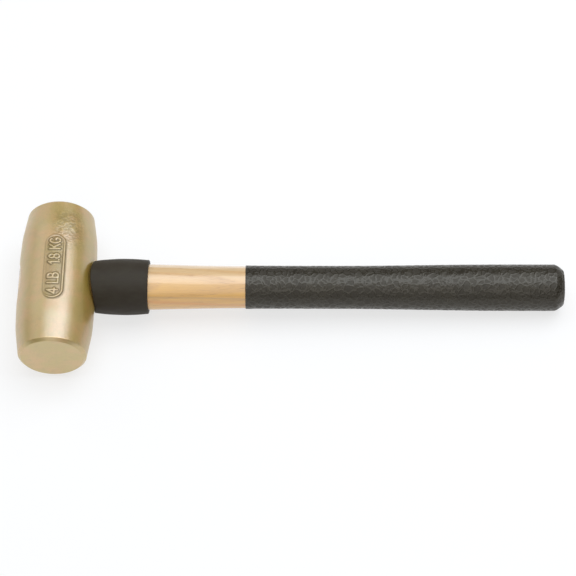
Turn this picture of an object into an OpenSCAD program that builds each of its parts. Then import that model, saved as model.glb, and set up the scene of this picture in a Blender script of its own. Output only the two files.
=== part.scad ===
// Brass hammer
// A barrel-shaped cast brass head on a wedged hickory handle, with a rubber
// collar seated against the head and a thin textured sleeve shrunk over the grip.
// Sizes are in millimetres. The hammer lies on its side as it would on a bench:
// the handle runs along +X, the striking faces look along -Y and +Y, +Z is up.

/* [Overall] */
// Length from the eye end of the head to the butt of the handle
hammer_l = 381; // [316:1:460]

/* [Head] */
// Length of the head from one striking face to the other
head_l = 116.4; // [95:0.1:150]
// Diameter of the head at the middle of its belly
head_d = 54.4; // [52:0.2:66]
// Rise of the belly's crown between the two tapered ends
belly_rise = 0.7; // [0.3:0.1:1.5]
// Length of the tapered stretch at each end, rim included
taper_l = 20.9; // [12:0.1:30]
// Diameter at the end of the taper, where the rim starts
end_d = 47.2; // [44:0.2:49]
// Diameter of each flat striking face
face_d = 43; // [36:0.2:43.6]
// Length of the rim's chamfer along the head
rim_l = 1.9; // [0.5:0.1:5]

/* [Panel on the cheek] */
// Length of the raised frame along the head
panel_l = 53; // [30:1:70]
// Width of the raised frame
panel_w = 14.8; // [8:0.2:20]
// Width of the frame's rib
panel_rib_w = 1.3; // [0.8:0.1:2.5]
// Height of the rib above the belly
panel_rib_h = 0.5; // [0.2:0.1:1.5]

/* [Eye] */
// Length of the oval eye, along the head, where the handle enters
eye_l = 31; // [25.5:0.1:34]
// Width of the oval eye where the handle enters
eye_w = 22; // [18:0.5:24]
// How much longer the eye is where the handle comes out
eye_flare = 2.5; // [0:0.1:5]
// Gap between the tenon and the eye on each side
eye_fit = 0.03; // [0:0.01:0.2]
// How far the tenon and wedges are ground below the belly
tenon_inset = 0.3; // [0:0.1:1.5]

/* [Wedges] */
// Depth of the saw kerf in the tenon
kerf_l = 38; // [36:1:44]
// Width of the saw kerf
kerf_w = 2; // [1:0.1:2.2]
// Depth of the wooden wedge
wedge_l = 34; // [24:1:36]
// Thickness of the wooden wedge at its head
wedge_t = 6.5; // [4:0.1:8]
// Thickness of the wooden wedge at its tip
wedge_tip_t = 2.2; // [2.2:0.1:3.5]
// Depth of each steel cross wedge
cross_l = 22; // [14:1:28]
// Width of each steel cross wedge
cross_w = 15; // [10:0.5:16]
// Thickness of each steel cross wedge at its head
cross_t = 3.2; // [2:0.1:4]
// Thickness of each steel cross wedge at its tip
cross_tip_t = 0.6; // [0.3:0.1:1.5]
// Distance between the two cross wedges
cross_pitch = 15; // [10:0.5:18]
// Gap between a wedge and the slot that it fills
wedge_fit = 0.03; // [0:0.01:0.1]

/* [Handle] */
// Diameter of the round neck inside the collar
neck_d = 32; // [30.5:0.1:39]
// Distance from the bottom of the collar's saddle to where the neck's shoulder starts
shoulder_set = 2.4; // [0.5:0.1:4]
// Length of the shoulder from the oval tenon up to the round neck
shoulder_l = 8; // [4:0.5:14]
// Diameter at the small end of the shoulder
shoulder_d = 23; // [20:0.5:26]
// Diameter of the wood at the waist
waist_d = 29.2; // [26:0.1:30.4]
// Diameter of the wood at the butt
butt_d = 31.6; // [30:0.1:38]
// Length of the even waist
waist_l = 40; // [20:1:60]
// Length over which the waist swells to the butt's diameter
swell_l = 117; // [80:1:130]
// Length of the straight stretch at the butt, rounding included
butt_l = 42; // [25:1:60]
// Length of the rounding at the butt
butt_round_l = 6.1; // [2:0.1:12]
// Diameter of the flat end at the butt
butt_face_d = 23.4; // [16:0.2:28]
// Fullness of the rounding at the butt, where 1 is a plain chamfer
butt_round_full = 1.35; // [1:0.05:2]

/* [Collar] */
// Length of the rubber collar, from the bottom of its saddle to its free end
collar_l = 37.2; // [25:0.1:46]
// Thickness of the collar's wall where it is largest
collar_t = 3.65; // [3.2:0.05:8]
// Distance from the bottom of the saddle to the collar's largest diameter
collar_swell = 20.4; // [10:0.1:25]
// Radius of the collar's bulging outline
collar_bulge_r = 150; // [140:5:600]
// Size of the chamfer on the collar's free end
collar_edge = 0.6; // [0.2:0.1:1.2]
// Distance from the widest part of the belly to the bottom of the collar's saddle
collar_set = 0.1; // [0:0.1:4]
// Radius of the saddle cut across the collar's head end, where it sits on the belly
saddle_r = 68; // [34:1:120]
// Gap between the collar and the neck
collar_fit = 0.05; // [0:0.01:0.3]

/* [Grip sleeve] */
// Length of the sleeve from the butt
grip_l = 221.6; // [120:0.1:280]
// Thickness of the sleeve
grip_t = 0.35; // [0.2:0.05:1.5]
// Gap between the sleeve and the wood
grip_fit = 0.02; // [0:0.01:0.1]

/* [Hidden] */
$fn = 96;

brass = "#b9a673";
hickory = "#dab98a";
end_grain = "#c79f6b";
rubber = "#3c3931";
sleeve_black = "#42403a";
steel = "#9a9a98";

// Room that a cutter reaches past the piece that it cuts
over = 2;

// Head: radii, and the heights of its sections along its own axis
head_r = head_d / 2;
end_r = end_d / 2;
face_r = face_d / 2;
face_y = head_l / 2;
rim_y = face_y - rim_l;
belly_y = face_y - taper_l;
belly_r = (belly_y * belly_y + belly_rise * belly_rise) / (2 * belly_rise);

// Distances along the handle, measured from the head's own axis
butt_x = hammer_l - head_r;
collar_x = head_r + collar_set;
shoulder_x = collar_x + shoulder_set;
neck_x = shoulder_x + shoulder_l;
neck_end_x = collar_x + collar_l;
butt_start_x = butt_x - butt_l;
swell_x = butt_start_x - swell_l;
waist_x = swell_x - waist_l;
round_x = butt_x - butt_round_l;
grip_x = butt_x - grip_l;

neck_r = neck_d / 2;
waist_r = waist_d / 2;
butt_r = butt_d / 2;
butt_face_r = butt_face_d / 2;

// Numbers of straight steps in the handle's curves
taper_steps = 10;
swell_steps = 14;
round_steps = 6;

// Radius of the wood at a distance x along the handle, past the neck
function ease(t) = t * t * (3 - 2 * t);
function wood_r(x) =
    x < neck_end_x ? neck_r :
    x < waist_x ? waist_r + (neck_r - waist_r) * pow((waist_x - x) / (waist_x - neck_end_x), 2) :
    x < swell_x ? waist_r :
    x < butt_start_x ? waist_r + (butt_r - waist_r) * ease((x - swell_x) / swell_l) :
    x < round_x ? butt_r :
    butt_face_r + (butt_r - butt_face_r)
        * (1 - pow(max(0, 1 - (butt_x - x) / butt_round_l), butt_round_full));

// Places along the handle where its outline has a point
taper_xs = [for (i = [0 : taper_steps - 1]) neck_end_x + (waist_x - neck_end_x) * i / taper_steps];
swell_xs = [for (i = [0 : swell_steps - 1]) swell_x + swell_l * i / swell_steps];
round_xs = [for (i = [0 : round_steps]) round_x + butt_round_l * i / round_steps];
wood_xs = concat(taper_xs, [waist_x], swell_xs, [butt_start_x], round_xs);
grip_xs = concat([grip_x], [for (x = wood_xs) if (x > grip_x) x]);

// Radius of a skin that lies a given depth above the wood, measured square to
// the surface, so that it keeps its thickness where the butt is rounded
slope_step = 0.2;
function wood_slope(x) = (wood_r(x) - wood_r(x - slope_step)) / slope_step;
function skin_r(x, depth) = wood_r(x) + depth * sqrt(1 + pow(wood_slope(x), 2));

// The hammer rests on its belly and on the sleeve's end, so the handle tilts
foot_r = butt_r + grip_fit + grip_t;
tilt = asin(head_r / sqrt(round_x * round_x + foot_r * foot_r)) - atan(foot_r / round_x);
lip_r = skin_r(butt_x, grip_fit + grip_t);
reach_x = butt_x * cos(tilt) + lip_r * sin(tilt);
middle_x = (reach_x - head_r) / 2;

// Collar: its bore, how far its two horns reach past the saddle, and the radius of its
// bulging outline at a distance from the bottom of the saddle
collar_bore_r = neck_r + collar_fit;
collar_r = collar_bore_r + collar_t;
horn_l = saddle_r - sqrt(pow(saddle_r, 2) - pow(collar_r, 2));
function collar_out_r(x) = collar_r - collar_bulge_r
    + sqrt(pow(collar_bulge_r, 2) - pow(x - collar_swell, 2));

// Lays the hammer down on its belly and butt, centred over the origin
module laid_down() {
    translate([-middle_x, 0, head_r])
        rotate([0, tilt, 0])
            children();
}

// Half outline of the head, turned about its axis into the barrel shape
module barrel_outline(grow) {
    intersection() {
        translate([head_r - belly_r, 0])
            circle(r = belly_r + grow, $fn = 720);
        polygon([
            [0, -face_y],
            [face_r + grow, -face_y],
            [end_r + grow, -rim_y],
            [head_r - belly_rise + grow, -belly_y],
            [head_r + over, -belly_y],
            [head_r + over, belly_y],
            [head_r - belly_rise + grow, belly_y],
            [end_r + grow, rim_y],
            [face_r + grow, face_y],
            [0, face_y]
        ]);
    }
}

module barrel(grow = 0) {
    rotate([-90, 0, 0])
        rotate_extrude($fn = 180)
            barrel_outline(grow);
}

// Outline with straight sides and round ends, along Y
module stadium(length, width) {
    square([width, length - width], center = true);
    for (side = [-1, 1])
        translate([0, side * (length - width) / 2])
            circle(d = width);
}

// Raised frame cast on the upper cheek, which follows the belly
module panel_rib() {
    intersection() {
        barrel(panel_rib_h);
        translate([0, 0, head_r / 2])
            linear_extrude(height = head_r)
                difference() {
                    stadium(panel_l, panel_w);
                    stadium(panel_l - 2 * panel_rib_w, panel_w - 2 * panel_rib_w);
                }
    }
}

// Tapered oval of the eye, from a place on the handle out past the far side
module eye_oval(from_x, gap) {
    flare_per_mm = eye_flare / head_d;
    far_x = -head_r - over;
    rotate([0, -90, 0])
        scale([eye_w / eye_l, 1, 1])
            translate([0, 0, -from_x])
                cylinder(
                    h = from_x - far_x,
                    d1 = eye_l + (head_r - from_x) * flare_per_mm - 2 * gap,
                    d2 = eye_l + (head_r - far_x) * flare_per_mm - 2 * gap
                );
}

// Room for the tenon: below the ground end, and inside the neck past the head
module tenon_room() {
    barrel(-tenon_inset);
    translate([0, -head_l / 2, -head_r])
        cube([collar_x, head_l, head_d]);
    rotate([0, 90, 0])
        cylinder(h = neck_x, r = neck_r);
}

// Wedge shape in the plane of its taper: its head is at x = 0, its tip at depth
module wedge_outline(depth, head_t, tip_t, gap) {
    polygon([
        [-over, head_t / 2 + gap],
        [0, head_t / 2 + gap],
        [depth + gap, tip_t / 2 + gap],
        [depth + gap, -tip_t / 2 - gap],
        [0, -head_t / 2 - gap],
        [-over, -head_t / 2 - gap]
    ]);
}

module wooden_wedge_blank(gap) {
    translate([-head_r, 0, 0])
        rotate([90, 0, 0])
            linear_extrude(height = 2 * eye_l, center = true)
                wedge_outline(wedge_l, wedge_t, wedge_tip_t, gap);
}

module cross_wedge_blank(side, gap) {
    translate([-head_r, side * cross_pitch / 2, 0])
        linear_extrude(height = cross_w + 2 * gap, center = true)
            wedge_outline(cross_l, cross_t, cross_tip_t, gap);
}

module both_cross_wedge_blanks(gap) {
    for (side = [-1, 1])
        cross_wedge_blank(side, gap);
}

module head() {
    color(brass)
        laid_down()
            difference() {
                union() {
                    barrel();
                    panel_rib();
                }
                eye_oval(head_d, 0);
            }
}

// Turned body of the handle, from the shoulder inside the collar to the butt
module turned_wood() {
    outline = concat(
        [[0, shoulder_x], [shoulder_d / 2, shoulder_x], [neck_r, neck_x]],
        [for (x = wood_xs) [wood_r(x), x]],
        [[0, butt_x]]
    );
    rotate([0, 90, 0])
        rotate_extrude()
            polygon(outline);
}

// Oval tenon that fills the eye, slit by the saw and spread by the wedges
module tenon() {
    difference() {
        intersection() {
            eye_oval(neck_x, eye_fit);
            tenon_room();
        }
        translate([-head_r - over, -eye_l, -kerf_w / 2])
            cube([kerf_l + over, 2 * eye_l, kerf_w]);
        wooden_wedge_blank(wedge_fit);
        both_cross_wedge_blanks(wedge_fit);
    }
}

module handle() {
    color(hickory)
        laid_down()
            union() {
                turned_wood();
                tenon();
            }
}

// Half outline of the collar: a bulging tube wall with its outer corner cut at the free end
module collar_outline() {
    clear_r = collar_r + over;
    intersection() {
        translate([collar_r - collar_bulge_r, collar_swell])
            circle(r = collar_bulge_r, $fn = 720);
        polygon([
            [collar_bore_r, -horn_l],
            [clear_r, -horn_l],
            [clear_r, collar_l - collar_edge],
            [collar_out_r(collar_l - collar_edge), collar_l - collar_edge],
            [collar_out_r(collar_l) - collar_edge, collar_l],
            [collar_bore_r, collar_l]
        ]);
    }
}

module collar() {
    color(rubber)
        laid_down()
            translate([collar_x, 0, 0])
                difference() {
                    rotate([0, 90, 0])
                        rotate_extrude()
                            collar_outline();
                    translate([-saddle_r, 0, 0])
                        rotate([90, 0, 0])
                            cylinder(h = 3 * collar_r, r = saddle_r, center = true, $fn = 360);
                }
}

module grip() {
    outline = concat(
        [for (x = grip_xs) [skin_r(x, grip_fit + grip_t), x]],
        [for (i = [len(grip_xs) - 1 : -1 : 0]) [skin_r(grip_xs[i], grip_fit), grip_xs[i]]]
    );
    color(sleeve_black)
        laid_down()
            rotate([0, 90, 0])
                rotate_extrude()
                    polygon(outline);
}

module eye_wedge() {
    color(end_grain)
        laid_down()
            difference() {
                intersection() {
                    wooden_wedge_blank(0);
                    eye_oval(neck_x, eye_fit);
                    barrel(-tenon_inset);
                }
                both_cross_wedge_blanks(wedge_fit);
            }
}

module cross_wedge(side) {
    color(steel)
        laid_down()
            intersection() {
                cross_wedge_blank(side, 0);
                eye_oval(neck_x, eye_fit);
                barrel(-tenon_inset);
            }
}

module cross_wedge_near() {
    cross_wedge(-1);
}

module cross_wedge_far() {
    cross_wedge(1);
}

head();
handle();
collar();
grip();
eye_wedge();
cross_wedge_near();
cross_wedge_far();
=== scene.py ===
import math

import bmesh
import bpy
import numpy as np
from mathutils import Matrix, Vector


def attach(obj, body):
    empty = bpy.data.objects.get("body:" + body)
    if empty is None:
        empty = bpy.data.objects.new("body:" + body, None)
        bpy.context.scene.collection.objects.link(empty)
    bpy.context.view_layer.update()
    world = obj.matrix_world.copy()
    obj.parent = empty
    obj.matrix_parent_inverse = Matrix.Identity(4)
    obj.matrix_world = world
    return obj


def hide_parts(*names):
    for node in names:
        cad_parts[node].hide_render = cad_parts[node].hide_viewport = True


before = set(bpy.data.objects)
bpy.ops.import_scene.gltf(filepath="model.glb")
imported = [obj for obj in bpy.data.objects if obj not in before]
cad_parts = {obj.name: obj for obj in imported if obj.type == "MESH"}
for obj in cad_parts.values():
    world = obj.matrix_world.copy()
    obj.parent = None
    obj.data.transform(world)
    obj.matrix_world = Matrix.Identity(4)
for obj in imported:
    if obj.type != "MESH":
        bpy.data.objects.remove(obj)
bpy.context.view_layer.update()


# How the hammer lies
# It lies on its side on the bench, on the belly of its head and on the end of its sleeve, so the
# handle falls a little towards the butt. Each piece is shaped in millimetres along the handle's own
# axis, with the head's axis at x = 0, and is laid down last.
BELLY_R = 27.2
SLEEVE_END_X = 347.7
SLEEVE_END_R = 16.17
FOOTPRINT_MIDDLE_X = 163.4045

tilt = (math.asin(BELLY_R / math.hypot(SLEEVE_END_X, SLEEVE_END_R))
        - math.atan(SLEEVE_END_R / SLEEVE_END_X))
tipped = Matrix.Rotation(tilt, 4, "Y")
laid_down = (Matrix.Scale(0.001, 4)
             @ Matrix.Translation((-FOOTPRINT_MIDDLE_X, 0, BELLY_R))
             @ tipped)


def bring_in(name, data):
    """A new object in the scene, which holds this mesh, lamp or camera."""
    thing = bpy.data.objects.new(name, data)
    bpy.context.scene.collection.objects.link(thing)
    return thing


def lay_down(name, mesh, node):
    """Puts a finished piece in its place on the bench, in place of its plain solid."""
    mesh.transform(laid_down)
    mesh.name = name
    piece = bring_in(name, mesh)
    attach(piece, "root")
    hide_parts(node)


# Handle
# One stick of hickory, turned on a lathe: an oval tenon for the eye, a round neck, a waist and a
# swell to the butt. The tenon is slit by a saw for its wedge, and the wood is lacquered where it
# shows.
NECK_R = 16.0
WAIST_R = 14.6
BUTT_R = 15.8
BUTT_FACE_R = 11.7
BUTT_FULLNESS = 1.35
SHOULDER_X = 29.7
SHOULDER_R = 11.5
SHOULDER_SOFTNESS = 0.6
NECK_X = 37.7
COLLAR_END_X = 64.5
WAIST_X = 154.8
SWELL_X = 194.8
BUTT_START_X = 311.8
BUTT_X = 353.8
GRIP_X = 132.2

# The eye, the tenon in it and the kerf in the tenon
EYE_LONG_R = 15.5
EYE_SHORT_R = 11.0
EYE_FLARE = 1.25 / 54.4
EYE_FIT = 0.03
TENON_INSET = 0.3
TENON_END_X = -26.0
TENON_SIDE_X = -18.0
GROUND_X = -20.0
KERF_L = 38.0
KERF_W = 2.0

# The wedges that the tenon has room for
WEDGE_L = 34.0
WEDGE_T = 6.5
WEDGE_TIP_T = 2.2
CROSS_L = 22.0
CROSS_W = 15.0
CROSS_T = 3.2
CROSS_TIP_T = 0.6
CROSS_Y = 7.5
WEDGE_FIT = 0.03
CUT_OVERRUN = 3.0

# The head's barrel, which the tenon's end follows
BELLY_RISE = 0.7
TAPER_Y = 37.3
RIM_Y = 56.3
TAPER_END_R = 23.6
TAPER_SOFTNESS = 0.3

# Steps between the handle's rings of points, which lie close where it shows and a margin past that
RING_STEP = 3.0
SHOWN_STEP = 0.5
SHOWN_MARGIN = 3.0


def wood_radius(x):
    """Radius of the turned wood at a distance along the handle."""
    x = np.asarray(x, float)
    taper = WAIST_R + (NECK_R - WAIST_R) * ((WAIST_X - x) / (WAIST_X - COLLAR_END_X)) ** 2
    share = np.clip((x - SWELL_X) / (BUTT_START_X - SWELL_X), 0, 1)
    swell = WAIST_R + (BUTT_R - WAIST_R) * share ** 2 * (3 - 2 * share)
    left = np.clip((BUTT_X - x) / (BUTT_X - SLEEVE_END_X), 0, 1)
    rounding = BUTT_FACE_R + (BUTT_R - BUTT_FACE_R) * (1 - (1 - left) ** BUTT_FULLNESS)
    return np.select([x < COLLAR_END_X, x < WAIST_X, x < SLEEVE_END_X],
                     [NECK_R, taper, swell], rounding)


def barrel_radius(y):
    """Radius of the head's barrel at a distance from its middle."""
    y = np.abs(np.asarray(y, float))
    belly_fall = BELLY_RISE * (y / TAPER_Y) ** 2
    taper_slope = (BELLY_R - BELLY_RISE - TAPER_END_R) / (RIM_Y - TAPER_Y)
    taper_fall = BELLY_RISE + taper_slope * (y - TAPER_Y)
    gap = belly_fall - taper_fall
    return BELLY_R - (belly_fall + taper_fall + np.sqrt(gap ** 2 + TAPER_SOFTNESS ** 2)) / 2


def eye_radii(x):
    """Half length and half width of the oval eye at a distance along the handle."""
    grown = 1 + (BELLY_R - x) * EYE_FLARE / EYE_LONG_R
    return EYE_LONG_R * grown, EYE_SHORT_R * grown


def ground_end(y, z):
    """Where the ground end of the tenon and its wedges lies, a little below the barrel's skin."""
    return -np.sqrt((barrel_radius(y) - TENON_INSET) ** 2 - z ** 2)


def ring_round(turns, x, radius):
    """A ring of points round the handle's axis, where x and the radius may change with the turn."""
    return np.stack([x + 0 * turns, radius * np.cos(turns), radius * np.sin(turns)], axis=1)


def band(first, second):
    """Faces between two rings of points, given by their numbers."""
    next_first, next_second = first[1:] + first[:1], second[1:] + second[:1]
    return [list(corners) for corners in zip(first, next_first, next_second, second)]


def bands(rows, columns, joined=False):
    """Faces between numbered rings of points in a row; joined shuts the last on the first."""
    rings = np.arange(rows * columns).reshape(rows, columns).tolist()
    return [face for first, second in zip(rings, rings[1:] + rings[:joined])
            for face in band(first, second)]


def shell_of(name, points, faces):
    """A mesh of these points and faces, facing outwards and shaded smooth."""
    mesh = bpy.data.meshes.new(name)
    mesh.from_pydata(np.asarray(points).tolist(), [], faces)
    shell = bmesh.new()
    shell.from_mesh(mesh)
    bmesh.ops.recalc_face_normals(shell, faces=shell.faces)
    shell.to_mesh(mesh)
    shell.free()
    mesh.shade_smooth()
    return mesh


def lofted(name, rings, first_middle, last_middle):
    """A closed shell over a stack of rings, shut at both ends on a middle point."""
    rings = np.asarray(rings)
    rows, columns = rings.shape[:2]
    points = np.concatenate([rings.reshape(-1, 3), [first_middle, last_middle]])
    faces = bands(rows, columns)
    last = (rows - 1) * columns
    for i in range(columns):
        after = (i + 1) % columns
        faces.append([rows * columns, after, i])
        faces.append([rows * columns + 1, last + i, last + after])
    return shell_of(name, points, faces)


def prism(name, outline, thickness_axis, half_width):
    """A closed bar with this outline in two axes and straight sides along the third."""
    points = [(first, side, second) if thickness_axis == "Y" else (first, second, side)
              for side in (-half_width, half_width) for first, second in outline]
    count = len(outline)
    faces = [list(range(count)), list(range(2 * count - 1, count - 1, -1))]
    faces += [[i, i + count, (i + 1) % count + count, (i + 1) % count] for i in range(count)]
    return shell_of(name, points, faces)


def mark(mesh, name, values):
    """Writes one number for each point, which a tree or a finish reads."""
    layer = mesh.attributes.new(name, "FLOAT", "POINT")
    layer.data.foreach_set("value", np.asarray(values, np.float32))


def mesh_points(mesh):
    """The places of a mesh's points, one row each."""
    points = np.zeros(len(mesh.vertices) * 3, np.float32)
    mesh.vertices.foreach_get("co", points)
    return points.reshape(-1, 3).astype(float)


def made_plain(blank):
    """The plain mesh that an object's modifiers make of it; the object itself goes."""
    table = bpy.context.evaluated_depsgraph_get()
    mesh = bpy.data.meshes.new_from_object(
        blank.evaluated_get(table), preserve_all_data_layers=True, depsgraph=table)
    bpy.data.objects.remove(blank)
    return mesh


def cut_away(mesh, cutters):
    """The mesh with these closed shapes cut out of it."""
    blank = bring_in("blank", mesh)
    tools = [bring_in("saw", cutter) for cutter in cutters]
    for tool in tools:
        cut = blank.modifiers.new("cut", "BOOLEAN")
        cut.operation, cut.solver, cut.object = "DIFFERENCE", "EXACT", tool
    left = made_plain(blank)
    for tool in tools:
        bpy.data.objects.remove(tool)
    return left


def feed(tree, part, sockets):
    """Feeds each socket of a node by a value or by another node."""
    for key, value in sockets.items():
        if isinstance(value, bpy.types.NodeSocket):
            tree.links.new(value, part.inputs[key])
        else:
            part.inputs[key].default_value = value


def put(tree, kind, sockets=None, **settings):
    """Adds one node to a tree, with its settings and what feeds its sockets."""
    part = tree.nodes.new(kind)
    for name, value in settings.items():
        setattr(part, name, value)
    feed(tree, part, sockets or {})
    return part


def reckon(tree, operation, *values):
    """One step of arithmetic in a tree."""
    return put(tree, "ShaderNodeMath", dict(enumerate(values)), operation=operation).outputs[0]


def times(tree, product, *others):
    """The product of several numbers."""
    for other in others:
        product = reckon(tree, "MULTIPLY", product, other)
    return product


def step_up(tree, value, low, high, bottom=0.0, top=1.0):
    """A smooth step from one number to another as a value rises from low to high."""
    sockets = {"Value": value, "From Min": low, "From Max": high, "To Min": bottom, "To Max": top}
    return put(tree, "ShaderNodeMapRange", sockets,
               interpolation_type="SMOOTHSTEP").outputs["Result"]


def axes_of(tree, place):
    """The three numbers of a place."""
    return put(tree, "ShaderNodeSeparateXYZ", {0: place}).outputs


def scaled(tree, place, factors):
    """A place stretched or squeezed along each axis."""
    return put(tree, "ShaderNodeVectorMath", {0: place, 1: factors},
               operation="MULTIPLY").outputs[0]


def strayed(tree, place, noise, reach):
    """A place moved by a noise, as far as reach says along each axis."""
    return put(tree, "ShaderNodeVectorMath", {0: noise, 1: reach, 2: place},
               operation="MULTIPLY_ADD").outputs[0]


def lumps_of(tree, place, size, seed, detail=2.0):
    """Uneven noise from 0 to 1, with its lumps of one size in millimetres."""
    sockets = {"Vector": place, "W": seed, "Scale": reckon(tree, "DIVIDE", 1.0, size),
               "Detail": detail}
    return put(tree, "ShaderNodeTexNoise", sockets, noise_dimensions="4D").outputs[0]


def speckle(tree, place, stretch, seed=0.0, detail=2.0, roughness=0.5):
    """Uneven noise from 0 to 1, with specks of one length in millimetres along each axis."""
    sockets = {"Vector": scaled(tree, place, [1 / length for length in stretch]), "W": seed,
               "Scale": 1.0, "Detail": detail, "Roughness": roughness}
    return put(tree, "ShaderNodeTexNoise", sockets, noise_dimensions="4D").outputs[0]


def relief_tree(name, sizes, relief):
    """A tree that raises and sinks a piece's skin by a rule, and gives the piece its finish."""
    tree = bpy.data.node_groups.new(name, "GeometryNodeTree")

    def socket(label, way, kind):
        return tree.interface.new_socket(label, in_out=way, socket_type="NodeSocket" + kind)

    socket("Geometry", "OUTPUT", "Geometry")
    socket("Geometry", "INPUT", "Geometry")
    for size, value in sizes.items():
        socket(size, "INPUT", "Float").default_value = value
    socket("Finish", "INPUT", "Material")
    given = put(tree, "NodeGroupInput").outputs
    height = relief(tree, given, put(tree, "GeometryNodeInputPosition").outputs[0])
    outwards = put(tree, "GeometryNodeInputNormal").outputs[0]
    offset = put(tree, "ShaderNodeVectorMath", {0: outwards, "Scale": height},
                 operation="SCALE").outputs[0]
    moved = put(tree, "GeometryNodeSetPosition",
                {"Geometry": given["Geometry"], "Offset": offset}).outputs[0]
    real = put(tree, "GeometryNodeRealizeInstances", {"Geometry": moved}).outputs[0]
    finished = put(tree, "GeometryNodeSetMaterial",
                   {"Geometry": real, "Material": given["Finish"]}).outputs[0]
    put(tree, "NodeGroupOutput", {"Geometry": finished})
    return tree


def read_mark(tree, name):
    """The number that a piece's points carry under this name."""
    return put(tree, "GeometryNodeInputNamedAttribute", {"Name": name},
               data_type="FLOAT").outputs[0]


def worked_mesh(mesh, tree, given):
    """The plain mesh that comes out of a tree, with some of the tree's named inputs set."""
    blank = bring_in("blank", mesh)
    work = blank.modifiers.new("work", "NODES")
    work.node_group = tree
    for socket in tree.interface.items_tree:
        if socket.in_out == "INPUT" and socket.name in given:
            work[socket.identifier] = given[socket.name]
    return made_plain(blank)


def on_hammer(tree):
    """Place in millimetres along the hammer's own axes, for a finish."""
    back = laid_down.inverted()
    sockets = {"Vector": put(tree, "ShaderNodeTexCoord").outputs["Object"],
               "Location": back.translation, "Rotation": (0, -tilt, 0), "Scale": (1000,) * 3}
    return put(tree, "ShaderNodeMapping", sockets).outputs[0]


def tinted(tree, share, first, second):
    """The first colour with a share of the second in it."""
    first, second = ((*colour, 1) if isinstance(colour, tuple) else colour
                     for colour in (first, second))
    return put(tree, "ShaderNodeMix", {0: share, 6: first, 7: second}, data_type="RGBA").outputs[2]


def ramp(tree, share, stops):
    """A number read off a line through the given stops."""
    part = put(tree, "ShaderNodeValToRGB", {0: share})
    line = part.color_ramp.elements
    while len(line) < len(stops):
        line.new(0.5)
    for element, (position, level) in zip(line, stops):
        element.position = position
        element.color = (level, level, level, 1)
    return part.outputs[0]


def new_finish(name):
    """A new material, its tree and its shader."""
    finish = bpy.data.materials.new(name)
    finish.use_nodes = True
    return finish, finish.node_tree, finish.node_tree.nodes["Principled BSDF"]


def bumped(tree, height, depth_mm):
    """Fine relief below the size of the mesh."""
    return put(tree, "ShaderNodeBump", {
        "Height": height, "Distance": depth_mm * 0.001, "Strength": 1.0}).outputs[0]


def wood_finish(name, painted_top_sheen, pale, deep, heart, pore, pith, ring_mm, lacquer, veins=()):
    """Ring-porous wood along the handle, with its pith and its heartwood off to one side, and a
    paler painted sheen along its far (+y) side, which shows as its upper edge.
    """
    finish, tree, shader = new_finish(name)
    place = on_hammer(tree)
    slow = scaled(tree, place, (0.011, 0.06, 0.06))
    wander = put(tree, "ShaderNodeTexNoise",
                 {"Vector": slow, "Scale": 1.0, "Detail": 2.0}).outputs["Color"]
    shift = put(tree, "ShaderNodeVectorMath", {0: wander, 1: (0.5, 0.5, 0.5)},
                operation="SUBTRACT").outputs[0]
    bent = strayed(tree, place, shift, (0.0, 5.0, 5.0))
    x, side, z = axes_of(tree, bent)

    slanted = put(tree, "ShaderNodeMapping", {
        "Vector": bent, "Location": (0, -pith[0], -pith[1]),
        "Rotation": (0, 0.014, 0.022)}).outputs[0]
    from_pith = put(tree, "ShaderNodeVectorMath", {0: scaled(tree, slanted, (0, 1, 1))},
                    operation="LENGTH").outputs["Value"]
    ring = reckon(tree, "FRACT", reckon(tree, "DIVIDE", from_pith, ring_mm))
    early = ramp(tree, ring, [(0.0, 1.0), (0.16, 0.8), (0.42, 0.25), (0.86, 0.0), (1.0, 0.9)])
    fibre = speckle(tree, place, (34, 0.55, 0.55), detail=3.0, roughness=0.6)
    drift = speckle(tree, place, (90, 9, 9), seed=3.0, detail=1.0)
    pores = speckle(tree, place, (7.0, 0.28, 0.28), seed=7.0, detail=1.0)
    pored = times(tree, step_up(tree, pores, 0.58, 0.70),
                  reckon(tree, "ADD", times(tree, early, 0.85), 0.08))
    ringed = times(tree, early, step_up(tree, drift, 0.3, 0.7, 0.12, 0.62))

    # Paler towards the far side: a painted sheen, standing in for the white room's reflection along
    # the handle's upper edge.
    top_sheened = tinted(tree, step_up(tree, side, 4.0, 13.0), pale, painted_top_sheen)
    ground = tinted(tree, step_up(tree, side, 3.0, -11.0), top_sheened, heart)
    in_heart = step_up(tree, side, -4.0, -9.0)
    for level, slope, width, share, colour in veins:
        off = reckon(tree, "SUBTRACT", z, reckon(tree, "MULTIPLY_ADD", x, slope, level))
        strength = step_up(tree, reckon(tree, "ABSOLUTE", off), 0.0, width, share, 0.0)
        ground = tinted(tree, times(tree, strength, in_heart), ground, colour)
    base = tinted(tree, ringed, ground, deep)
    toned = tinted(tree, step_up(tree, fibre, 0.3, 0.75, 0.0, 0.4), base, deep)
    lows = reckon(tree, "SUBTRACT", times(tree, fibre, 0.35), pored)
    feed(tree, shader, {
        "Base Color": tinted(tree, times(tree, pored, 0.7), toned, pore),
        "Roughness": step_up(tree, fibre, 0.2, 0.8, 0.40, 0.55),
        "Normal": bumped(tree, lows, 0.05),
        "Coat Weight": lacquer, "Coat IOR": 1.85, "Coat Roughness": 0.22})
    return finish


def wood_relief(tree, given, place):
    """Raised fibres between sunk pores, where the wood shows."""
    along, across = (reckon(tree, "DIVIDE", 1.0, given[size])
                     for size in ("Fibre length", "Fibre width"))
    squeeze = put(tree, "ShaderNodeCombineXYZ", {0: along, 1: across, 2: across}).outputs[0]
    fibres = lumps_of(tree, scaled(tree, place, squeeze), 1.0, given["Seed"])
    return times(tree, step_up(tree, fibres, 0.35, 0.65, -1.0, 0.0), given["Groove depth"],
                 read_mark(tree, "bare"))


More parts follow.
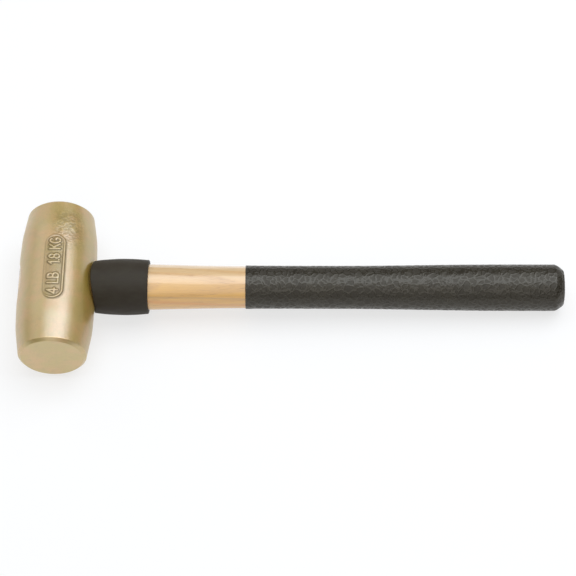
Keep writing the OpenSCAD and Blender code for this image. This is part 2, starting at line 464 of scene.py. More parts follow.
def wedge_outline(middle, depth, head_t, tip_t):
    """Outline of a wedge's room, from a little outside the barrel to its tip."""
    outside, tip = -BELLY_R - CUT_OVERRUN, -BELLY_R + depth + WEDGE_FIT
    ends = [(outside, head_t), (-BELLY_R, head_t), (tip, tip_t)]
    return ([(x, middle - t / 2 - WEDGE_FIT) for x, t in ends]
            + [(x, middle + t / 2 + WEDGE_FIT) for x, t in ends[::-1]])


handle_turns = np.linspace(0, 2 * math.pi, 288, endpoint=False)
cos_h, sin_h = np.cos(handle_turns), np.sin(handle_turns)


def tenon_outline(x):
    """Radius of the oval tenon at each turn, at a distance along the handle."""
    long_r, short_r = (r - EYE_FIT for r in eye_radii(x))
    return long_r * short_r / np.sqrt((short_r * cos_h) ** 2 + (long_r * sin_h) ** 2)


rings = []
for share in np.linspace(0.04, 1, 22):
    y, z = (tenon_outline(TENON_END_X) * turn * share for turn in (cos_h, sin_h))
    rings.append(np.stack([ground_end(y, z), y, z], axis=1))
end_ring = rings[-1]
tenon_ring = ring_round(handle_turns, TENON_SIDE_X, tenon_outline(TENON_SIDE_X))
for share in (0.12, 0.4, 0.7, 1.0):
    rings.append(end_ring + (tenon_ring - end_ring) * share)
for x in np.arange(TENON_SIDE_X + RING_STEP, SHOULDER_X - 0.5, RING_STEP):
    rings.append(ring_round(handle_turns, x, tenon_outline(x)))
for x in np.linspace(SHOULDER_X - 0.4, NECK_X, 12):
    turned = SHOULDER_R + (NECK_R - SHOULDER_R) * (x - SHOULDER_X) / (NECK_X - SHOULDER_X)
    oval = np.minimum(tenon_outline(x), NECK_R)
    soft = (turned + oval + np.sqrt((turned - oval) ** 2 + SHOULDER_SOFTNESS)) / 2
    rings.append(ring_round(handle_turns, x, soft if x < NECK_X else NECK_R))
under_collar = np.arange(NECK_X + 2.5, COLLAR_END_X - SHOWN_MARGIN, RING_STEP)
shown = np.arange(COLLAR_END_X - SHOWN_MARGIN, GRIP_X + SHOWN_MARGIN, SHOWN_STEP)
under_sleeve = np.arange(GRIP_X + 4.0, SLEEVE_END_X - 0.5, 4.0)
rounded_butt = np.linspace(SLEEVE_END_X, BUTT_X - 0.25, 9)
for x in np.concatenate([under_collar, shown, under_sleeve, rounded_butt]):
    rings.append(ring_round(handle_turns, x, wood_radius(x)))
for share in np.linspace(1, 0.05, 20):
    rings.append(ring_round(handle_turns, BUTT_X, (BUTT_FACE_R - 0.15) * share))
handle_blank = lofted("handle", rings, (ground_end(0.0, 0.0), 0, 0), (BUTT_X, 0, 0))
handle_x = mesh_points(handle_blank)[:, 0]
bare = (handle_x > COLLAR_END_X - SHOWN_MARGIN) & (handle_x < GRIP_X + SHOWN_MARGIN)
mark(handle_blank, "bare", bare | (handle_x > BUTT_X - 0.1) | (handle_x < GROUND_X))

# Height at the head's axis, slope, half width, strength and colour of each dark or red vein
hickory_veins = [(10.2, -0.035, 1.3, 0.5, (0.40, 0.25, 0.095)),
                 (10.8, -0.095, 2.8, 0.8, (0.72, 0.285, 0.040))]
hickory = wood_finish(
    "lacquered_hickory", painted_top_sheen=(0.78, 0.65, 0.49), pale=(0.650, 0.450, 0.228),
    deep=(0.57, 0.305, 0.095), heart=(0.75, 0.405, 0.080), pore=(0.30, 0.135, 0.045),
    pith=(31, -50), ring_mm=3.2, lacquer=1.0, veins=hickory_veins)
grain_tree = relief_tree("turned_grain", {
    "Fibre length": 26.0, "Fibre width": 0.9, "Groove depth": 0.03, "Seed": 4.0}, wood_relief)
handle_mesh = worked_mesh(handle_blank, grain_tree, {"Finish": hickory})

start, end, half = -BELLY_R - CUT_OVERRUN, KERF_L - BELLY_R, KERF_W / 2
saw_kerf = [(start, -half), (end, -half), (end, half), (start, half)]
cross_rooms = [prism("cross_room", wedge_outline(side * CROSS_Y, CROSS_L, CROSS_T, CROSS_TIP_T),
                     "Z", CROSS_W / 2 + WEDGE_FIT) for side in (-1, 1)]
wedge_room = wedge_outline(0, WEDGE_L, WEDGE_T, WEDGE_TIP_T)
along_rooms = [prism(name, outline, "Y", 2 * EYE_LONG_R)
               for name, outline in (("kerf", saw_kerf), ("wedge_room", wedge_room))]
lay_down("turned_handle", cut_away(handle_mesh, along_rooms + cross_rooms),
         "handle")


# Grip sleeve
# A thin tube of black plastic with a crackled skin, slid over the butt and shrunk by heat, so that
# it takes the handle's outline and turns in over the rounded butt. Its free end is pulled into fine
# wrinkles.
SLEEVE_T = 0.35
SLEEVE_FIT = 0.02
SLEEVE_EDGE = 0.12
CRACKLE_MESH = 4.3
CRACKLE_H = 0.105
LUMP_H = 0.06
WRINKLE_H = 0.28
SLEEVE_BLACK = (0.012, 0.009, 0.004)
SLEEVE_FADED = (0.018, 0.0145, 0.007)
SLEEVE_SPECK = (0.014, 0.011, 0.007)
SLEEVE_GLOSS = (1.0, 0.95, 0.86, 1)


def sleeve_radius(x, depth):
    """Radius of a skin that lies this deep over the wood, measured square to it."""
    slope = (wood_radius(x) - wood_radius(x - 0.2)) / 0.2
    return wood_radius(x) + depth * np.sqrt(1 + slope ** 2)


def crackle(tree, place, mesh_mm):
    """Distance from the nearest line of an uneven net, as a share of one mesh's width."""
    warp = put(tree, "ShaderNodeTexNoise", {"Vector": place, "Scale": 0.35, "Detail": 1.0})
    warped = strayed(tree, place, warp.outputs["Color"], (3.4, 3.4, 3.4))
    return put(tree, "ShaderNodeTexVoronoi",
               {"Vector": warped, "Scale": reckon(tree, "DIVIDE", 1.0, mesh_mm)},
               feature="DISTANCE_TO_EDGE").outputs["Distance"]


def crackled_relief(tree, given, place):
    """Fine ridges that cross in an uneven net, with wrinkles round the free end."""
    net = crackle(tree, place, given["Mesh size"])
    ridges = times(tree, step_up(tree, net, 0.0, 0.24, 1.0, 0.0), given["Ridge height"])
    lumps = put(tree, "ShaderNodeTexNoise", {"Vector": place, "Scale": 0.16, "Detail": 2.0})
    swelled = times(tree, reckon(tree, "SUBTRACT", lumps.outputs[0], 0.5), given["Lump height"])
    along = axes_of(tree, place)[0]
    near_end = step_up(tree, along, GRIP_X + 3, GRIP_X + 13, 1.0, 0.0)
    folds = put(tree, "ShaderNodeTexNoise", {"Vector": scaled(tree, place, (0.75, 0.09, 0.09)),
                                             "Scale": 1.0, "Detail": 1.0})
    wrinkles = times(tree, folds.outputs[0], near_end, given["Wrinkle height"])
    ridged = times(tree, ridges, step_up(tree, along, GRIP_X, GRIP_X + 9, 0.35, 1.0))
    total = reckon(tree, "ADD", reckon(tree, "ADD", ridged, swelled), wrinkles)
    return times(tree, total, read_mark(tree, "outside"))


sleeve_turns = np.linspace(0, 2 * math.pi, 192, endpoint=False)
outer_x = np.concatenate([np.arange(GRIP_X + 0.15, SLEEVE_END_X - 0.2, 0.53),
                          np.linspace(SLEEVE_END_X, BUTT_X, 14)])
inner_x = np.concatenate([np.linspace(BUTT_X, SLEEVE_END_X, 8),
                          np.arange(SLEEVE_END_X - 8, GRIP_X + 1, -8.0), [GRIP_X]])
skins = ([(GRIP_X, SLEEVE_FIT + SLEEVE_T - SLEEVE_EDGE)]
         + [(x, SLEEVE_FIT + SLEEVE_T) for x in outer_x] + [(x, SLEEVE_FIT) for x in inner_x])
sleeve_points = np.concatenate([ring_round(sleeve_turns, x, sleeve_radius(x, depth))
                                for x, depth in skins])
sleeve_blank = shell_of("sleeve", sleeve_points, bands(len(skins), len(sleeve_turns), joined=True))
outside_count = (1 + len(outer_x)) * len(sleeve_turns)
mark(sleeve_blank, "outside", np.arange(len(sleeve_points)) < outside_count)

sleeve_finish, tree, shader = new_finish("crackled_black_sleeve")
place = on_hammer(tree)
fine = speckle(tree, place, (0.5, 0.5, 0.5), detail=3.0, roughness=0.6)
cloud = speckle(tree, place, (16, 16, 16), seed=2.0)
net = crackle(tree, place, CRACKLE_MESH)
tone = tinted(tree, step_up(tree, cloud, 0.3, 0.7), SLEEVE_BLACK, SLEEVE_FADED)
ridges = step_up(tree, net, 0.0, 0.22, 1.0, 0.0)
polish = step_up(tree, net, 0.02, 0.20, 0.13, 0.44)
feed(tree, shader, {
    "Base Color": tinted(tree, step_up(tree, fine, 0.35, 0.7, 0.0, 0.6), tone, SLEEVE_SPECK),
    "Roughness": reckon(tree, "MULTIPLY_ADD", fine, 0.12, polish),
    "Normal": bumped(tree, reckon(tree, "MULTIPLY_ADD", fine, 0.4, ridges), 0.07),
    "Specular IOR Level": 0.6, "Specular Tint": SLEEVE_GLOSS})

crackle_tree = relief_tree("crackled_skin", {
    "Mesh size": CRACKLE_MESH, "Ridge height": CRACKLE_H, "Lump height": LUMP_H,
    "Wrinkle height": WRINKLE_H}, crackled_relief)
sleeve_mesh = worked_mesh(sleeve_blank, crackle_tree, {"Finish": sleeve_finish})
lay_down("crackled_sleeve", sleeve_mesh, "grip")


# Collar
# A short thick tube of black rubber, moulded with a slight bulge and pushed up the neck until the
# saddle in its end sits on the belly. It takes the blow of a miss. Its free end is cut a little
# askew, with a thin lip.
COLLAR_X = 27.3
COLLAR_L = 37.2
COLLAR_BORE_R = 16.05
COLLAR_R = 19.7
COLLAR_SWELL = 20.4
COLLAR_BULGE_R = 150.0
COLLAR_EDGE = 0.6
COLLAR_STEP = 0.6
SADDLE_R = 68.0
SADDLE_REACH = 24.0
LIP_H = 0.22
LIP_L = 0.7
ASKEW = 0.35
ASKEW_FROM = 0.6
RUBBER_BLACK = (0.025, 0.018, 0.010)
RUBBER_SMEARED = (0.033, 0.027, 0.017)
RUBBER_DUST = (0.070, 0.060, 0.045)

collar_turns = np.linspace(0, 2 * math.pi, 200, endpoint=False)


def collar_bulge(x):
    """Outer radius of the tube at a distance from the bottom of its saddle."""
    return COLLAR_R - COLLAR_BULGE_R + np.sqrt(COLLAR_BULGE_R ** 2 - (x - COLLAR_SWELL) ** 2)


def collar_stations():
    """Places round the tube's wall: distance from the head end, depth of its corner, share."""
    wall = (0.85, 0.65, 0.45, 0.25, 0.08)
    corner = np.linspace(0, math.pi / 2, 7)
    from_end, sunk = (COLLAR_EDGE * (1 - way(corner)) for way in (np.sin, np.cos))
    straight = np.arange(COLLAR_EDGE + COLLAR_STEP, COLLAR_L - COLLAR_EDGE - COLLAR_STEP / 2,
                         COLLAR_STEP)
    stations = [(d, s, 1.0) for d, s in zip(from_end[::-1], sunk[::-1])]
    stations += [(d, 0.0, 1.0) for d in straight]
    stations += [(COLLAR_L - d, s, 1.0) for d, s in zip(from_end, sunk)]
    stations += [(COLLAR_L, COLLAR_EDGE, share) for share in wall]
    stations += [(d, 0.0, 0.0) for d in np.linspace(COLLAR_L - 0.15, 0.15, 20)]
    stations += [(0.0, COLLAR_EDGE, share) for share in wall[::-1]]
    return stations


def collar_ring(distance, sunk, share):
    """One ring of the tube's wall, drawn towards the head above and below by the saddle."""
    upwards = np.sin(collar_turns)
    horn = SADDLE_R - np.sqrt(SADDLE_R ** 2 - ((COLLAR_BORE_R + 3 * share) * upwards) ** 2)
    late = max(0.0, distance / COLLAR_L - ASKEW_FROM) / (1 - ASKEW_FROM)
    askew = ASKEW * np.cos(collar_turns) * late
    x = distance - horn * max(0.0, 1 - distance / SADDLE_REACH) + askew
    lip = LIP_H * math.exp(-((distance - COLLAR_L + LIP_L) / LIP_L) ** 2) * (0.55 + 0.45 * upwards)
    radius = COLLAR_BORE_R + share * (collar_bulge(x) - sunk + lip - COLLAR_BORE_R)
    return ring_round(collar_turns, COLLAR_X + x, radius)


def waved(tree, given, place):
    """Slow waves with a fine grain on them, about the plain skin."""
    heights = []
    for kind, detail in (("Wave", 1.0), ("Grain", 2.0)):
        lumps = lumps_of(tree, place, given[kind + " size"], given["Seed"], detail)
        heights.append(times(tree, reckon(tree, "SUBTRACT", lumps, 0.5), given[kind + " height"]))
    return reckon(tree, "ADD", *heights)


def moulded_relief(tree, given, place):
    """Waves and grain on the outside, as rubber has out of its mould."""
    return times(tree, waved(tree, given, place), read_mark(tree, "outside"))


rings = [collar_ring(*station) for station in collar_stations()]
collar_blank = shell_of("collar", np.concatenate(rings),
                        bands(len(rings), len(collar_turns), joined=True))
from_axis = np.hypot(*mesh_points(collar_blank)[:, 1:].T)
mark(collar_blank, "outside", from_axis > COLLAR_BORE_R + 0.3)

rubber, tree, shader = new_finish("black_rubber")
place = on_hammer(tree)
smear = speckle(tree, place, (9, 4, 4), seed=1.0, detail=3.0)
dust = speckle(tree, place, (0.7, 0.5, 0.5), seed=6.0, detail=3.0, roughness=0.65)
tone = tinted(tree, step_up(tree, smear, 0.35, 0.7), RUBBER_BLACK, RUBBER_SMEARED)
feed(tree, shader, {
    "Base Color": tinted(tree, step_up(tree, dust, 0.55, 0.8, 0.0, 0.3), tone, RUBBER_DUST),
    "Roughness": step_up(tree, smear, 0.3, 0.7, 0.52, 0.68),
    "Normal": bumped(tree, dust, 0.03), "Specular IOR Level": 0.28})

moulded_tree = relief_tree("moulded_rubber", {
    "Wave size": 9.0, "Wave height": 0.25, "Grain size": 0.9, "Grain height": 0.03,
    "Seed": 8.0}, moulded_relief)
collar_mesh = worked_mesh(collar_blank, moulded_tree, {"Finish": rubber})
lay_down("rubber_collar", collar_mesh, "collar")


# Head
# One brass casting, a barrel with two flat striking faces and an oval eye through its middle. Sand
# leaves its skin grainy, the faces and the rims round them are ground, and a raised frame with the
# weight in it stands on the upper cheek.
FACE_Y = 58.2
FRAME_L = 53.0
FRAME_W = 14.8
RIB_W = 1.3
RIB_H = 0.5
WEIGHT_MARK = "4 LB  1.8 KG"
FIGURE_H = 7.2
FIGURE_SQUEEZE = 0.86
FIGURE_STROKE = 1.3
FIGURE_RISE = 0.45
FIGURE_GAP = 0.19
MOUTH_ROUNDING = 0.9
SCAB_SIZE = 1.15
SCAB_STRETCH = (0.55, 1.0, 0.55)
FAR_OFF = 9.0
BRASS_YELLOW = (0.525, 0.382, 0.074)
BRASS_RED = (0.600, 0.375, 0.103)
BRASS_DULL = (0.45, 0.325, 0.070)
BRASS_SPECK = (0.36, 0.25, 0.055)
BRASS_RUBBED = (0.62, 0.48, 0.22)
# Dark tone of dirt, also laid as painted shade round the raised frame and figures.
SOIL_AND_SHADE = (0.195, 0.140, 0.045)

# Distance past the rim and radius, over the rim's worn edge and down the bevel towards the face
RIM_PROFILE = [(-0.277, 23.642), (-0.144, 23.611), (-0.022, 23.559), (0.088, 23.486),
               (0.188, 23.392), (0.9, 22.60), (1.5, 21.94), (1.72, 21.68)]

# The upper cheek holds fine relief, so its points lie closer than the barrel's other ones
CHEEK_HALF_L = 28.0
CHEEK_HALF_W = 9.2
CHEEK_STEP = 0.26
BARREL_STEP = 0.72


def arc(x, y, radius_x, radius_y, start, end, steps=9):
    """Points along part of an oval round x, y, with angles in degrees."""
    angles = np.radians(np.linspace(start, end, steps))
    return list(zip(x + radius_x * np.cos(angles), y + radius_y * np.sin(angles)))


# Strokes of the raised weight figures, in a cell one unit high, each with the cell's width
figures = {
    "4": (0.68, [[(0.50, 0), (0.50, 1), (0.0, 0.30), (0.68, 0.30)]]),
    "L": (0.50, [[(0, 1), (0, 0), (0.50, 0)]]),
    "B": (0.58, [[(0, 0), (0, 1), (0.28, 1)] + arc(0.28, 0.76, 0.24, 0.24, 90, -90) + [(0, 0.52)],
                 [(0, 0), (0.30, 0)] + arc(0.30, 0.26, 0.28, 0.26, -90, 90) + [(0, 0.52)]]),
    "1": (0.26, [[(0.0, 0.76), (0.24, 1), (0.24, 0)]]),
    ".": (0.08, [[(0.04, 0.03), (0.04, 0.04)]]),
    "8": (0.56, [arc(0.28, 0.76, 0.23, 0.24, 0, 360, 17), arc(0.28, 0.26, 0.28, 0.26, 0, 360, 17)]),
    "K": (0.60, [[(0, 0), (0, 1)], [(0.56, 1), (0.0, 0.40)], [(0.20, 0.60), (0.60, 0)]]),
    "G": (0.68, [arc(0.34, 0.5, 0.34, 0.5, 48, 335, 19) + [(0.66, 0.44), (0.42, 0.44)]]),
    " ": (0.36, []),
}


def mark_strokes():
    """Every stroke of the weight mark as pieces of line, about the middle of the frame."""
    lines, reach = [], 0.0
    for sign in WEIGHT_MARK:
        width, strokes = figures[sign]
        for stroke in strokes:
            points = [((reach + x) * FIGURE_H * FIGURE_SQUEEZE, (y - 0.5) * FIGURE_H)
                      for x, y in stroke]
            lines += list(zip(points[:-1], points[1:]))
        reach += width + FIGURE_GAP
    shift = (reach - FIGURE_GAP) * FIGURE_H * FIGURE_SQUEEZE / 2
    return [((a[0] - shift, a[1]), (b[0] - shift, b[1])) for a, b in lines]


def off_line(points, start, end):
    """Distance of each point from a piece of line."""
    start, end = np.array(start), np.array(end)
    run = end - start
    share = np.clip(((points - start) @ run) / max(run @ run, 1e-9), 0, 1)
    return np.linalg.norm(points - start - share[:, None] * run, axis=1)


def smooth(value, low, high):
    """A soft step from 0 to 1 as a value rises from low to high."""
    share = np.clip((value - low) / (high - low), 0, 1)
    return share * share * (3 - 2 * share)


def cheek_relief(along, across):
    """Height of the frame and its figures on the upper cheek, and the distance that sets the dirt
    and painted shade round them.
    """
    points = np.stack([along, across], axis=1)
    half_straight = (FRAME_L - FRAME_W) / 2
    off_middle = off_line(points, (-half_straight, 0), (half_straight, 0))
    off_rib = np.abs(off_middle - (FRAME_W - RIB_W) / 2)
    strength = 0.22 + 0.78 * smooth(across - 0.2 * along, -4.0, 5.5)
    rib = RIB_H * strength * (1 - smooth(off_rib, RIB_W / 2 - 0.42, RIB_W / 2 + 0.32))
    off_stroke = np.full(len(points), FAR_OFF)
    near = off_middle < FRAME_W / 2
    upright = points[near] * (1, -1)
    for start, end in mark_strokes():
        off_stroke[near] = np.minimum(off_stroke[near], off_line(upright, start, end))
    half = FIGURE_STROKE / 2
    raised = FIGURE_RISE * (1 - smooth(off_stroke, half - 0.25, half + 0.3))
    # The brass darkens near the rib and figures: dirt in the hollows with painted shade of the
    # relief, less where the rib is low.
    darkening_from = np.minimum(off_rib - RIB_W / 2 + 2.2 * (1 - strength), off_stroke - half)
    within = off_middle < FRAME_W / 2 - RIB_W
    return np.maximum(rib, raised), np.where(within, np.minimum(darkening_from, 1.35), darkening_from)


# Columns of points round half the barrel, from the top of the cheek past the eye to the bottom
quarter = math.pi / 2
cheek_turn = 9.0 / BELLY_R
eye_turn = math.radians(36)
side_turns = np.concatenate([
    np.arange(0, cheek_turn, CHEEK_STEP / BELLY_R),
    np.linspace(cheek_turn, quarter - eye_turn, 20, endpoint=False),
    np.linspace(quarter - eye_turn, quarter + eye_turn, 38, endpoint=False),
    np.linspace(quarter + eye_turn, math.pi, 32)])
head_turns = np.concatenate([side_turns, -side_turns[-2:0:-1]])
lines_y = np.concatenate([np.arange(-55.6, -27.6, BARREL_STEP), np.arange(-27.5, 27.6, CHEEK_STEP),
                          np.arange(28.2, 55.7, BARREL_STEP)])

# The window left in each side of the barrel for the eye's mouth
window_y = 20.0
eye_left, eye_right = (int(np.argmin(np.abs(head_turns - quarter - side)))
                       for side in (-eye_turn, eye_turn))
y_low, y_high = (int(np.argmin(np.abs(lines_y - side))) for side in (-window_y, window_y))

end_profile = ([(RIM_Y + past, r) for past, r in RIM_PROFILE]
               + [(FACE_Y - 0.03, 21.53), (FACE_Y, 21.35)]
               + [(FACE_Y, r) for r in np.linspace(21.0, 0.8, 21)])
profile = ([(-y, r) for y, r in end_profile[::-1]]
           + [(y, None) for y in lines_y] + end_profile)
first_line = len(end_profile)

rows, columns = len(profile), len(head_turns)
head_points = np.zeros((rows, columns, 3))
cast, raised = np.ones((rows, columns)), np.zeros((rows, columns))
hollow = np.full((rows, columns), FAR_OFF)
across = head_turns * BELLY_R
on_cheek = np.abs(across) < CHEEK_HALF_W
for row, (y, radius) in enumerate(profile):
    if radius is None:
        radius = float(barrel_radius(y))
        if abs(y) < CHEEK_HALF_L:
            raised[row, on_cheek], hollow[row, on_cheek] = cheek_relief(
                np.full(on_cheek.sum(), y), across[on_cheek])
    else:
        cast[row] = 0.0
    around = radius + raised[row]
    head_points[row] = np.stack([around * np.sin(head_turns), np.full(columns, y),
                                 around * np.cos(head_turns)], axis=1)
points = list(head_points.reshape(-1, 3))
marks = {"cast": list(cast.ravel()), "hollow": list(hollow.ravel()), "raised": list(raised.ravel())}


def add_ring(ring, cast):
    """Adds a ring of points away from the cheek, and returns their numbers."""
    start = len(points)
    points.extend(ring)
    for name, value in (("cast", cast), ("hollow", FAR_OFF), ("raised", 0.0)):
        marks[name] += [value] * len(ring)
    return list(range(start, start + len(ring)))


def eye_mouth(side):
    """Rings of points from the window in one side of the barrel in to the eye's rounded mouth."""
    def index(j, i):
        return (first_line + j) * columns + (i if side > 0 else (columns - i) % columns)

    window = [index(y_low, i) for i in range(eye_left, eye_right)]
    window += [index(j, eye_right) for j in range(y_low, y_high)]
    window += [index(y_high, i) for i in range(eye_right, eye_left, -1)]
    window += [index(j, eye_left) for j in range(y_high, y_low, -1)]
    _, y_out, z_out = np.array([points[i] for i in window]).T
    reach_out = np.hypot(y_out, z_out)
    cosine, sine = y_out / reach_out, z_out / reach_out
    first_guess = 13.0
    reach_eye = np.full(len(window), first_guess)
    for _ in range(6):
        x = side * np.sqrt(barrel_radius(reach_eye * cosine) ** 2 - (reach_eye * sine) ** 2)
        long_r, short_r = eye_radii(x)
        reach_eye = long_r * short_r / np.sqrt((short_r * cosine) ** 2 + (long_r * sine) ** 2)

    def ring(reach, depth, cast):
        y, z = reach * cosine, reach * sine
        x = side * np.sqrt((barrel_radius(y) - depth) ** 2 - z ** 2)
        return add_ring(np.stack([x, y, z], axis=1), cast)

    rings = [window]
    for share in 1 - np.linspace(1, 0, 13)[1:] ** 1.25:
        rings.append(ring(reach_out + (reach_eye + MOUTH_ROUNDING - reach_out) * share, 0.0, 1.0))
    for turn in np.linspace(0, quarter, 6)[1:]:
        rings.append(ring(reach_eye + MOUTH_ROUNDING * (1 - math.sin(turn)),
                          MOUTH_ROUNDING * (1 - math.cos(turn)), 0.6))
    return rings


cut_columns = set(range(eye_left, eye_right))
cut_columns |= {(columns - i - 1) % columns for i in cut_columns}
window_rows = range(first_line + y_low, first_line + y_high)
faces = [face for i, face in enumerate(bands(rows, columns))
         if not (i // columns in window_rows and i % columns in cut_columns)]
mouths = [eye_mouth(1), eye_mouth(-1)]
near_end, far_end = (np.array([points[i] for i in mouth[-1]]) for mouth in mouths)
bore = [add_ring(near_end + (far_end - near_end) * share, 0.0)
        for share in np.linspace(0, 1, 14)[1:-1]]
through = mouths[0] + bore + mouths[1][::-1]
for first, second in zip(through[:-1], through[1:]):
    faces += band(first, second)
for row, y in ((0, -FACE_Y), (rows - 1, FACE_Y)):
    middle = add_ring([np.array([0.0, y, 0.0])], 0.0)[0]
    faces += [[middle, row * columns + i, row * columns + (i + 1) % columns]
              for i in range(columns)]
used = sorted({i for face in faces for i in face})
number_now = {i: now for now, i in enumerate(used)}
faces = [[number_now[i] for i in face] for face in faces]
head_blank = shell_of("head", np.array(points)[used], faces)
for name, values in marks.items():
    mark(head_blank, name, np.array(values)[used])


def scab_at(tree, place, size):
    """Ridges of the rough scab beside the frame, where sand broke away, and how much lies here."""
    lumps = lumps_of(tree, scaled(tree, place, SCAB_STRETCH), size, 2.0)
    x, y, z = axes_of(tree, place)
    turn = reckon(tree, "ARCTAN2", x, z)
    beside = times(tree, step_up(tree, turn, -0.22, 0.15),
                   step_up(tree, turn, 0.45, 0.95, 1.0, 0.0))
    lengthwise = times(tree, step_up(tree, y, 8, 28), step_up(tree, y, 42, 54, 1.0, 0.0))
    return step_up(tree, lumps, 0.42, 0.62), times(tree, beside, lengthwise)


def cast_relief(tree, given, place):
    """Waves, sand grain and the scab, less on the ground ends and none where the head lies."""
    ridges, patch = scab_at(tree, place, given["Scab size"])
    skin = reckon(tree, "ADD", waved(tree, given, place),
                  times(tree, ridges, patch, given["Scab height"]))
    cast = reckon(tree, "MULTIPLY_ADD", read_mark(tree, "cast"), 0.92, 0.08)
    lain_on = step_up(tree, axes_of(tree, place)[2], -BELLY_R, -23.0)
    return times(tree, skin, cast, lain_on)


brass, tree, shader = new_finish("cast_brass")
place = on_hammer(tree)
grain = speckle(tree, place, (0.45, 0.45, 0.45), detail=4.0, roughness=0.65)
patches = speckle(tree, place, (14, 11, 11), seed=5.0)
blotches = speckle(tree, place, (4, 4, 4), seed=9.0, detail=3.0)
hollow, raised, cast = (put(tree, "ShaderNodeAttribute", attribute_name=name).outputs["Fac"]
                        for name in ("hollow", "raised", "cast"))
tone = tinted(tree, step_up(tree, patches, 0.35, 0.68), BRASS_YELLOW, BRASS_RED)
clouded = tinted(tree, step_up(tree, blotches, 0.45, 0.75, 0.0, 0.5), tone, BRASS_DULL)
mottled = tinted(tree, step_up(tree, grain, 0.52, 0.72, 0.0, 0.35), clouded, BRASS_SPECK)
# Darker round the raised rib and figures: dirt packed in the hollows together with painted shade of
# the relief; the scab's pits hold dirt.
packed_dirt_and_shade = times(tree, step_up(tree, hollow, 0.0, 2.3, 0.9, 0.0),
               step_up(tree, raised, 0.1, 0.4, 1.0, 0.1))
ridges, patch = scab_at(tree, place, SCAB_SIZE)
pitted = times(tree, patch, reckon(tree, "MULTIPLY_ADD", ridges, -0.35, 0.42))
soiled_and_shaded = reckon(tree, "MAXIMUM", packed_dirt_and_shade, pitted)
dirt_and_shade_tone = tinted(tree, soiled_and_shaded, mottled, SOIL_AND_SHADE)
grainy = bumped(tree, grain, 0.09)
feed(tree, shader, {
    "Base Color": tinted(tree, step_up(tree, raised, 0.25, 0.45, 0.0, 0.45), dirt_and_shade_tone, BRASS_RUBBED),
    "Roughness": reckon(tree, "ADD", step_up(tree, grain, 0.3, 0.7, 0.70, 0.84),
                        step_up(tree, cast, 0.0, 1.0, -0.26, 0.0)),
    "Normal": grainy, "Coat Normal": grainy,
    "Coat Weight": reckon(tree, "MULTIPLY_ADD", soiled_and_shaded, -0.8, 1.0),
    "Metallic": 1.0, "Coat IOR": 2.5, "Coat Roughness": 0.30})

cast_tree = relief_tree("cast_skin", {
    "Wave size": 17.0, "Wave height": 0.30, "Grain size": 1.3, "Grain height": 0.14,
    "Scab size": SCAB_SIZE, "Scab height": 0.12, "Seed": 2.0}, cast_relief)
head_mesh = worked_mesh(head_blank, cast_tree, {"Finish": brass})
lay_down("cast_head", head_mesh, "head")


# Wooden wedge
# A slip of hardwood driven along the eye into the saw kerf, which spreads the tenon against the
# eye's two long sides. Its end is sanded flush with the tenon, just below the barrel.
def block(name, counts, place):
    """A closed block of small faces, with each point of its surface placed by a rule."""
    numbers, points, faces = {}, [], []

    def number(cell):
        if cell not in numbers:
            numbers[cell] = len(points)
            points.append(place(*(2 * c / n - 1 for c, n in zip(cell, counts))))
        return numbers[cell]

    for axis in range(3):
        first, second = (other for other in range(3) if other != axis)
        for end, a, b in np.ndindex(2, counts[first], counts[second]):
            corners = []
            for da, db in ((0, 0), (1, 0), (1, 1), (0, 1)):
                cell = [0, 0, 0]
                cell[axis], cell[first], cell[second] = end * counts[axis], a + da, b + db
                corners.append(number(tuple(cell)))
            faces.append(corners)
    return shell_of(name, points, faces)


def wedge_x(share, y, z, depth):
    """Place along the handle of a wedge's point, by its share of the way from end to tip."""
    start = float(ground_end(y, z))
    return start + share * (depth - BELLY_R - start)


def wooden_wedge_place(u, v, w):
    """Where a point of the block lies on the wooden wedge."""
    share = (u + 1) / 2
    z = w * (WEDGE_T + (WEDGE_TIP_T - WEDGE_T) * share) / 2
    long_r, short_r = eye_radii(-BELLY_R + WEDGE_L * share)
    y = v * (long_r - EYE_FIT) * math.sqrt(1 - (z / short_r) ** 2)
    return wedge_x(share, y, z, WEDGE_L), y, z


wedge_wood = wood_finish(
    "wedge_hardwood", painted_top_sheen=(0.52, 0.32, 0.135), pale=(0.52, 0.32, 0.135), deep=(0.38, 0.20, 0.075),
    heart=(0.48, 0.28, 0.11), pore=(0.20, 0.09, 0.035), pith=(30, -14), ring_mm=1.6, lacquer=0.1)
blank = block("wooden_wedge", (30, 66, 14), wooden_wedge_place)
mark(blank, "bare", mesh_points(blank)[:, 0] < GROUND_X)
wedge = worked_mesh(blank, grain_tree, {
    "Fibre width": 0.6, "Groove depth": 0.05, "Finish": wedge_wood})
lay_down("wooden_wedge", cut_away(wedge, cross_rooms), "eye_wedge")


# Steel cross wedges
# Two small wedges of ground steel, driven across the wooden one near the ends of the eye, which
# lock it and spread the tenon lengthwise.
WEDGE_EDGE = 0.2
STEEL_DARK = (0.42, 0.41, 0.39)
STEEL_BRIGHT = (0.55, 0.54, 0.52)
STEEL_STAIN = (0.26, 0.20, 0.15)


def cross_wedge_place(side):
    """The rule for where a point of the block lies on the cross wedge of one side."""
    def place(u, v, w):
        share = (u + 1) / 2
        y = side * CROSS_Y + v * (CROSS_T + (CROSS_TIP_T - CROSS_T) * share) / 2
        z = w * CROSS_W / 2
        return wedge_x(share, y, z, CROSS_L), y, z
    return place


def bevelled(mesh, width):
    """The mesh with its sharp edges rounded a little."""
    blank = bring_in("blank", mesh)
    edge = blank.modifiers.new("edge", "BEVEL")
    edge.width, edge.segments, edge.angle_limit = width, 2, math.radians(40)
    return made_plain(blank)


